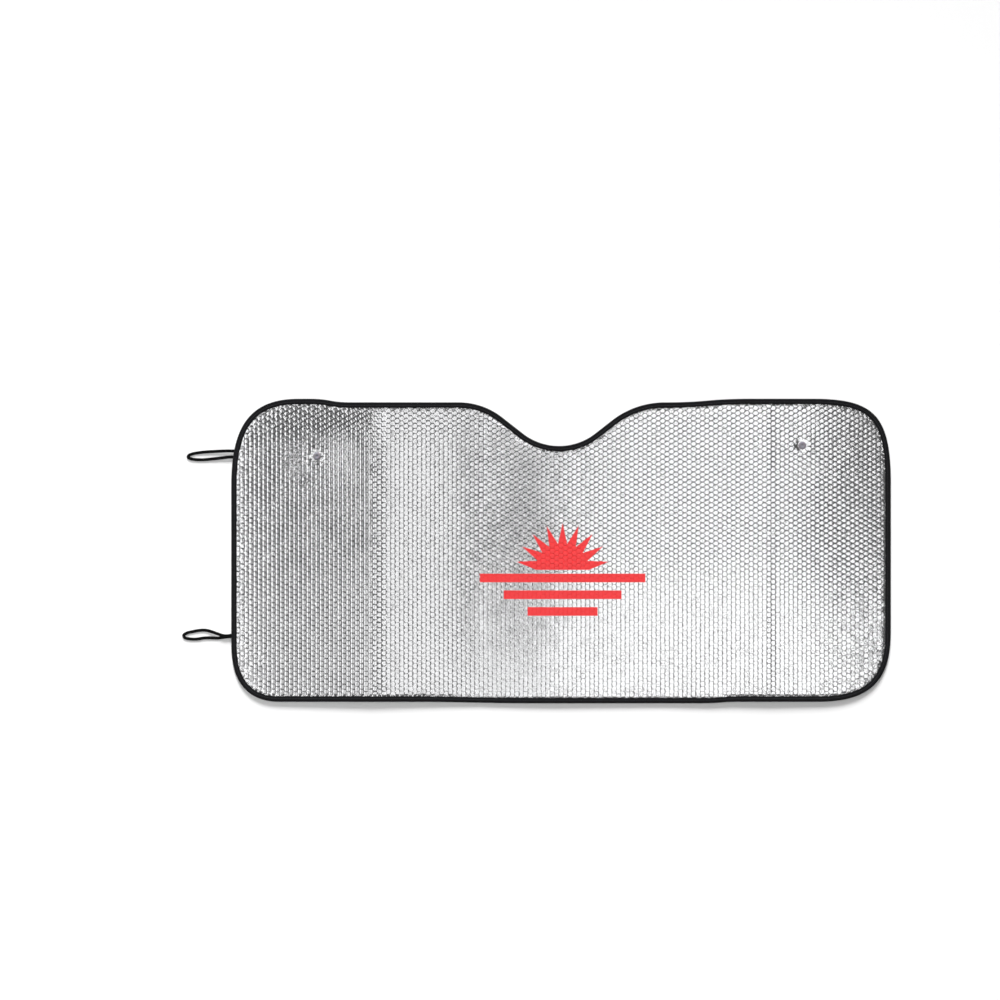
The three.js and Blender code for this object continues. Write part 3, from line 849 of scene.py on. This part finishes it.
# Screen-printing ink: a dense red vinyl coat, half glossy. Its grain, a slight change of red, is
# drawn 1.4 mm wide, coarser than the real one, so that it shows.
def red_ink():
    material, tree, surface = new_material("screen_printed_vinyl_ink")
    place = add_node(tree, "TexCoord", {}).outputs["Object"]
    grain = add_node(tree, "TexNoise", {"Vector": place, "Scale": 700.0, "Detail": 3.0})
    colour = add_node(
        tree, "Mix",
        {"Factor": grain.outputs["Fac"], "A": linear("#d62a2e"), "B": linear("#ea4042")},
        data_type="RGBA",
    )
    bump = add_node(
        tree, "Bump", {"Height": grain.outputs["Fac"], "Strength": 0.25, "Distance": 0.4 * MM}
    )
    shader = add_node(
        tree, "BsdfPrincipled",
        {"Base Color": colour.outputs["Result"], "Roughness": 0.45, "Normal": bump.outputs["Normal"]},
    )
    tree.links.new(shader.outputs["BSDF"], surface)
    return material


ink_material = red_ink()
sun_corners = []
for i in range(2 * sun_rays + 1):
    angle = math.pi * i / (2 * sun_rays)
    radius = sun_ray_radius if i % 2 else sun_disc_radius
    sun_corners.append((print_x + radius * math.cos(angle), sun_base + radius * math.sin(angle)))
printed_piece(
    "printed_half_sun",
    [[(print_x, sun_base), a, b] for a, b in zip(sun_corners, sun_corners[1:])],
)
for i, length in enumerate(bar_lengths):
    middle = sun_base - bar_spacing * (i + 1) + bar_height
    low_x, high_x = print_x - length / 2, print_x + length / 2
    low_y, high_y = middle - bar_height / 2, middle + bar_height / 2
    printed_piece(
        f"printed_bar_{i + 1}",
        [[(low_x, low_y), (high_x, low_y), (high_x, high_y), (low_x, high_y)]],
    )

# Edge binding: one black woven polyester tape, 25 mm wide, folded over the edge of the foil and
# sewn through all layers with a single lockstitch row along its middle. The thread pulls a small
# dimple at each stitch, and the free edge wanders a little between them.
stitch_pitch = 3.0
stitch_inset = 6.3
tape_reach = 10.8
binding_height = 4.6
shoulder_inset = 4.2
stitched_height = 4.35
swelling_inset = 8.8
swelling_height = 4.5
selvedge_height = 4.25
tape_skin = 0.7
fold_radius = binding_height / 2
thread_pull = 0.12
dimple_width = 1.2
underside_pull = 0.3
gather_depth = 0.25
gather_length = 17.0


def stations_along(spacing):
    """Evenly spaced points on the outline, their inward directions and their runs along it."""
    closed = np.vstack([outline, outline[:1]])
    steps = np.hypot(*np.diff(closed, axis=0).T)
    run = np.concatenate([[0], np.cumsum(steps)])
    count = 2 * round(run[-1] / spacing)
    stops = np.arange(count) * run[-1] / count
    x, y = np.interp(stops, run, closed[:, 0]), np.interp(stops, run, closed[:, 1])
    ahead_x, ahead_y = np.roll(x, -2) - np.roll(x, 2), np.roll(y, -2) - np.roll(y, 2)
    size = np.hypot(ahead_x, ahead_y)
    return np.stack([x, y], 1), np.stack([-ahead_y / size, ahead_x / size], 1), stops


def tape_section():
    """Inset and height of the folded tape: its outer face from the top down, then its inner."""
    turn = [math.radians(angle) for angle in (30, 60, 90, 120, 150)]
    outer = [
        (tape_reach, selvedge_height), (swelling_inset, swelling_height),
        (stitch_inset, stitched_height), (shoulder_inset, binding_height),
    ]
    outer += [(fold_radius * (1 - math.sin(a)), fold_radius * (1 + math.cos(a))) for a in turn]
    outer += [(fold_radius, 0.0), (stitch_inset, 0.05), (binding_cover, 0.0)]
    inner = [
        (binding_cover - 0.1, tape_skin), (stitch_inset, tape_skin + 0.05),
        (fold_radius, tape_skin),
    ]
    tight = fold_radius - tape_skin
    inner += [(fold_radius - tight * math.sin(a), fold_radius - tight * math.cos(a)) for a in turn[::2]]
    inner += [
        (fold_radius, binding_height - tape_skin), (stitch_inset, stitched_height - tape_skin),
        (tape_reach - 0.1, selvedge_height - tape_skin),
    ]
    return outer + inner


# Woven polyester tape: matt black, with a plain weave whose raised yarns are painted a faint grey,
# a painted highlight, and whose tone varies at random with wear. Its yarns are drawn 0.8 mm apart,
# coarser than the real ones, so that the weave shows.
def woven_tape():
    material, tree, surface = new_material("woven_polyester_tape")
    place = add_node(tree, "UVMap", {}, uv_map="UVMap").outputs["UV"]
    parts = add_node(tree, "SeparateXYZ", {"Vector": place})
    turns = math.pi / (0.8 * MM)
    along = add_node(tree, "Math", {0: parts.outputs["X"], 1: turns}, operation="MULTIPLY")
    across = add_node(tree, "Math", {0: parts.outputs["Y"], 1: turns}, operation="MULTIPLY")
    warp = add_node(tree, "Math", {0: along.outputs[0]}, operation="SINE")
    weft = add_node(tree, "Math", {0: across.outputs[0]}, operation="SINE")
    weave = add_node(tree, "Math", {0: warp.outputs[0], 1: weft.outputs[0]}, operation="MULTIPLY")
    wear = add_node(tree, "TexNoise", {"Vector": place, "Scale": 90.0, "Detail": 4.0})
    # Painted highlight on the raised yarns of the weave, with a random tone of wear over it
    lifted = add_node(tree, "Math", {0: weave.outputs[0], 1: 0.25, 2: 0.5}, operation="MULTIPLY_ADD")
    weave_highlight_and_wear = add_node(tree, "Math", {0: lifted.outputs[0], 1: wear.outputs["Fac"]}, operation="MULTIPLY")
    colour = add_node(
        tree, "Mix",
        {"Factor": weave_highlight_and_wear.outputs[0], "A": linear("#0a0a0c"), "B": linear("#1c1c1f")},
        data_type="RGBA",
    )
    bump = add_node(tree, "Bump", {"Height": weave.outputs[0], "Strength": 0.5, "Distance": 0.12 * MM})
    shader = add_node(
        tree, "BsdfPrincipled",
        {
            "Base Color": colour.outputs["Result"], "Roughness": 0.8, "Sheen Weight": 0.05,
            "Specular IOR Level": 0.25, "Normal": bump.outputs["Normal"],
        },
    )
    tree.links.new(shader.outputs["BSDF"], surface)
    return material


stops, inwards, runs = stations_along(stitch_pitch)
section = np.array(tape_section())
girth = np.concatenate([[0], np.cumsum(np.hypot(*np.diff(section, axis=0).T))])
lies = lie_at(stops[:, 0])
tug = np.where(np.arange(len(stops)) % 2, 0.0, thread_pull)
gather = gather_depth * waves(runs, 0 * runs, gather_length, 5)
tape_points, tape_uvs, tape_faces = [], [], []
for (x, y), (nx, ny), run, lie, pull, drift in zip(stops, inwards, runs, lies, tug, gather):
    for k, (inset, height) in enumerate(section):
        reach = inset + drift * smooth(7, 10, inset)
        dip = pull * math.exp(-(((inset - stitch_inset) / dimple_width) ** 2))
        rise = height + (-dip if height > fold_radius else dip * underside_pull)
        tape_points.append((x + nx * reach, y + ny * reach, rise + lie))
        tape_uvs.append((run * MM, girth[k] * MM))
around = len(section)
for i in range(len(stops)):
    here, beyond = i * around, (i + 1) % len(stops) * around
    for k in range(around):
        beside = (k + 1) % around
        tape_faces.append((here + k, here + beside, beyond + beside, beyond + k))
binding = new_piece("edge_binding_tape", tape_points, tape_faces, woven_tape(), tape_uvs)
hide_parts("edge_binding")


# Sewing thread: bonded polyester in charcoal, two plies, half a millimetre thick, with a soft
# gloss. Its plies are a slight change of tone, drawn coarser than they are so that they show.
def sewing_thread():
    material, tree, surface = new_material("bonded_polyester_thread")
    place = add_node(tree, "TexCoord", {}).outputs["Object"]
    ply = add_node(tree, "TexNoise", {"Vector": place, "Scale": 1500.0, "Detail": 2.0})
    colour = add_node(
        tree, "Mix",
        {"Factor": ply.outputs["Fac"], "A": linear("#202022"), "B": linear("#48484c")},
        data_type="RGBA",
    )
    shader = add_node(tree, "BsdfPrincipled", {"Base Color": colour.outputs["Result"], "Roughness": 0.5})
    tree.links.new(shader.outputs["BSDF"], surface)
    return material


# A stitch is one bead that swells between the two holes it leaves and enters. Each row has its
# height over the lie of the sheet, its arch, and how round its beads stay: above, then below.
thread_rows = [(4.38, 0.12, 1.0), (0.12, 0.0, 0.4)]
bead_rings = 5
bead_sides = 6
bead_radius = 0.3
bead_end = 0.45
hole_share = 0.06
thread_points, thread_faces = [], []
for base, arch, roundness in thread_rows:
    for i in range(0, len(stops), 2):
        start = stops[i] + inwards[i] * stitch_inset
        after = (i + 2) % len(stops)
        end = stops[after] + inwards[after] * stitch_inset
        ahead = Vector((*(end - start), 0)).normalized()
        side = Vector((-ahead.y, ahead.x, 0))
        first = len(thread_points)
        for ring in range(bead_rings):
            share = (ring + 0.5) / bead_rings
            swell = math.sin(math.pi * share)
            along = hole_share + (1 - 2 * hole_share) * share
            place = Vector((*(start + (end - start) * along), base + lies[i] + arch * swell))
            for k in range(bead_sides):
                angle = 2 * math.pi * k / bead_sides
                size = bead_radius * (bead_end + (1 - bead_end) * swell)
                up = size * math.sin(angle) * roundness
                thread_points.append(place + side * size * math.cos(angle) + Vector((0, 0, up)))
        for ring in range(bead_rings - 1):
            for k in range(bead_sides):
                a = first + ring * bead_sides + k
                b = first + ring * bead_sides + (k + 1) % bead_sides
                thread_faces.append((a, a + bead_sides, b + bead_sides, b))
        last = first + (bead_rings - 1) * bead_sides
        thread_faces.append(tuple(first + k for k in range(bead_sides)))
        thread_faces.append(tuple(last + k for k in reversed(range(bead_sides))))
thread = new_piece("binding_thread", thread_points, thread_faces, sewing_thread())

# Suction cups: one soft PVC moulding each, pushed through a hole in the foil from below. The
# mushroom head shows on top, over the neck, and the cup itself is hidden under the foil.
cup_steps = 64
cup_radius = 21.0
cup_lip_width = 2.2
cup_lip_thickness = 1.0
cup_hollow_depth = 2.8
cup_hollow_top_radius = 5.0
cup_hollow_shoulder = 15.5
cup_dome_shoulder = 17.7
cup_dome_height = 5.2
cup_dome_top_radius = 8.2
cup_shoulder_radius = 6.0
neck_radius = 3.4
head_bottom = seat_height + pinched_thickness + contact_gap
head_radius = 7.4
head_top_radius = 5.6
head_thickness = 3.2
head_edge_thickness = 1.6
head_gate_radius = 2.0
moulded_edge = 0.3
moulded_fillet = 0.2
hollow_spans, dome_spans, head_spans = 10, 12, 8


def curve_points(a, b, c, spans):
    """Points of a quadratic curve from a up to c, both ends in."""
    points = []
    for i in range(spans + 1):
        t = i / spans
        points.append(tuple(
            (1 - t) ** 2 * p + 2 * t * (1 - t) * q + t * t * r for p, q, r in zip(a, b, c)
        ))
    return points


def cup_profile():
    """Radius and height of the moulding, from the top of its hollow round to the top of its head."""
    edge, fillet, depth = moulded_edge, moulded_fillet, cup_hollow_depth
    profile = [(0.0, depth)]
    profile += curve_points(
        (cup_hollow_top_radius, depth), (cup_hollow_shoulder, depth),
        (cup_radius - cup_lip_width, 0.0), hollow_spans,
    )
    profile += [(cup_radius - edge, 0.0), (cup_radius, edge)]
    profile += curve_points(
        (cup_radius, cup_lip_thickness), (cup_dome_shoulder, cup_dome_height),
        (cup_dome_top_radius, cup_dome_height), dome_spans,
    )
    seat, shoulder = cup_height, cup_shoulder_radius
    profile += [(shoulder + 0.6, seat - 0.7), (shoulder + fillet, seat - 0.1), (shoulder, seat)]
    profile += [(neck_radius + fillet, seat), (neck_radius, seat + fillet)]
    head, top = head_bottom, head_bottom + head_thickness
    profile += [(neck_radius, head - fillet), (neck_radius + fillet, head)]
    profile += [(head_radius - edge, head), (head_radius, head + edge)]
    profile += [(head_radius, head + head_edge_thickness - edge)]
    profile += curve_points(
        (head_radius, head + head_edge_thickness), (head_radius - fillet, top - 0.4),
        (head_top_radius, top - 0.1), head_spans,
    )
    gate = head_gate_radius
    profile += [(head_top_radius - 1, top), (gate + fillet, top - 0.08), (gate, top - edge)]
    return [*profile, (0.0, top - 0.34)]


# Soft PVC: clear resin tinted smoky grey by its plasticiser and dust, moulded glossy and a little
# worn, so light goes into it and the edge glows paler than the middle.
def smoky_vinyl():
    material, tree, surface = new_material("smoky_soft_pvc")
    place = add_node(tree, "TexCoord", {}).outputs["Object"]
    haze = add_node(tree, "TexNoise", {"Vector": place, "Scale": 260.0, "Detail": 3.0})
    colour = add_node(
        tree, "Mix",
        {"Factor": haze.outputs["Fac"], "A": linear("#7d7982"), "B": linear("#9a96a0")},
        data_type="RGBA",
    )
    gloss = add_node(tree, "MapRange", {"Value": haze.outputs["Fac"], "To Min": 0.22, "To Max": 0.4})
    bump = add_node(tree, "Bump", {"Height": haze.outputs["Fac"], "Strength": 0.1, "Distance": 0.5 * MM})
    shader = add_node(
        tree, "BsdfPrincipled",
        {
            "Base Color": colour.outputs["Result"], "Roughness": gloss.outputs["Result"],
            "IOR": 1.53, "Transmission Weight": 0.25, "Subsurface Weight": 0.2,
            "Subsurface Scale": 3 * MM, "Normal": bump.outputs["Normal"],
        },
    )
    tree.links.new(shader.outputs["BSDF"], surface)
    return material


def turned(profile, middle_x, middle_y):
    """A profile turned round an upright axis, closed by a fan at each end."""
    points = [(middle_x, middle_y, profile[0][1])]
    for radius, height in profile[1:-1]:
        for k in range(cup_steps):
            angle = 2 * math.pi * k / cup_steps
            x, y = middle_x + radius * math.cos(angle), middle_y + radius * math.sin(angle)
            points.append((x, y, height))
    points.append((middle_x, middle_y, profile[-1][1]))
    last = len(points) - 1
    faces = [(0, 1 + (k + 1) % cup_steps, 1 + k) for k in range(cup_steps)]
    for ring in range(len(profile) - 3):
        for k in range(cup_steps):
            a, b = 1 + ring * cup_steps + k, 1 + ring * cup_steps + (k + 1) % cup_steps
            faces.append((a, b, b + cup_steps, a + cup_steps))
    top = last - cup_steps
    faces += [(top + k, top + (k + 1) % cup_steps, last) for k in range(cup_steps)]
    return points, faces


vinyl = smoky_vinyl()
for name, cup_x, cup_y in cups:
    points, faces = turned(cup_profile(), cup_x, cup_y)
    cup = new_piece(name + "_moulding", points, faces, vinyl)
    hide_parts(name)

# Floor and studio light. The floor is plain white. Large soft lamps overhead are what the flat
# tops of the bubbles mirror, with dark between them, and low ones at the sides light the walls.
# A sun from the notch side casts the shadow.
floor_reach = 60
floor_corners = [
    (x * floor_reach, y * floor_reach, 0) for x, y in ((-1, -1), (1, -1), (1, 1), (-1, 1))
]
floor_mesh = bpy.data.meshes.new("floor")
floor_mesh.from_pydata(floor_corners, [], [(0, 1, 2, 3)])
floor = bpy.data.objects.new("floor", floor_mesh)
bpy.context.scene.collection.objects.link(floor)
floor_material, floor_tree, floor_surface = new_material("matt_white_floor")
paint = add_node(floor_tree, "BsdfPrincipled", {"Base Color": linear("#f7f7f7"), "Roughness": 0.9})
floor_tree.links.new(paint.outputs["BSDF"], floor_surface)
floor_mesh.materials.append(floor_material)

world = bpy.data.worlds.new("studio")
bpy.context.scene.world = world
world.use_nodes = True
world.node_tree.nodes["Background"].inputs["Color"].default_value = (1, 1, 1, 1)
world.node_tree.nodes["Background"].inputs["Strength"].default_value = 0.085


def soft_lamp(name, middle, size, radiance, aim):
    """A rectangular lamp of one brightness, facing a point."""
    data = bpy.data.lights.new(name, "AREA")
    data.shape = "RECTANGLE"
    data.size, data.size_y = size
    data.energy = radiance * math.pi * size[0] * size[1]
    lamp = bpy.data.objects.new(name, data)
    turn = (Vector(aim) - Vector(middle)).to_track_quat("-Z", "Y")
    lamp.matrix_world = Matrix.Translation(middle) @ turn.to_matrix().to_4x4()
    lamp.visible_camera = False
    bpy.context.scene.collection.objects.link(lamp)


# Each overhead panel's name, its lower and upper x, its lower and upper y in metres, and its
# radiance. They lie side by side, dim over the left end, with a dark and a grey gap near the
# middle.
overhead_height = 2.0
overhead_panels = [
    ("beyond_left", -8.5, -1.75, -1.2, 1.2, 1.15),
    ("edge_left", -1.6, -1.0, -1.2, 1.2, 1.2),
    ("far_left_bottom", -1.0, -0.48, -1.2, -0.22, 0.45),
    ("far_left", -1.0, -0.48, -0.22, -0.1, 0.32),
    ("far_left_low", -1.0, -0.48, -0.1, 0.06, 0.17),
    ("far_left_middle", -1.0, -0.48, 0.06, 0.2, 0.07),
    ("far_left_top", -1.0, -0.48, 0.2, 1.2, 0.03),
    ("left", -0.48, -0.155, -1.2, 1.2, 1.02),
    ("dark_gap", -0.155, -0.045, -0.34, 0.2, 0.03),
    ("dark_gap_top", -0.15, -0.045, 0.2, 1.2, 0.35),
    ("dark_gap_bridge", -0.15, -0.045, -1.2, -0.34, 0.8),
    ("grey_gap", -0.045, 0.045, -0.2, 1.2, 0.5),
    ("grey_gap_bridge", -0.045, 0.045, -1.2, -0.2, 1.0),
    ("right_top", 0.045, 0.98, -0.02, 1.2, 1.1),
    ("right", 0.045, 1.3, -1.2, -0.02, 1.12),
]
for name, x0, x1, y0, y1, radiance in overhead_panels:
    x, y = (x0 + x1) / 2, (y0 + y1) / 2
    soft_lamp("overhead_" + name, (x, y, overhead_height), (x1 - x0, y1 - y0), radiance, (x, y, 0))

# Each side lamp's name, its place, its length, its radiance and the x that it faces
side_height = 0.5
side_lamps = [
    ("side_left", -1.9, 0.0, 3.0, 0.25, 0.0),
    ("side_right", 1.9, 0.0, 3.0, 0.25, 0.0),
    ("side_front", 0.2, -1.6, 2.6, 0.5, 0.2),
]
for name, x, y, length, radiance, facing_x in side_lamps:
    soft_lamp(name, (x, y, side_height), (length, side_height), radiance, (facing_x, 0, side_height))

# The sun casts the shade's shadow below it, and the film doesn't mirror it
sun_data = bpy.data.lights.new("notch_side_light", "SUN")
sun_data.energy = 8.6
sun_data.angle = math.radians(22)
sun = bpy.data.objects.new("notch_side_light", sun_data)
sun.matrix_world = Vector((0.04, -1, -0.29)).to_track_quat("-Z", "Y").to_matrix().to_4x4()
sun.visible_glossy = False
bpy.context.scene.collection.objects.link(sun)
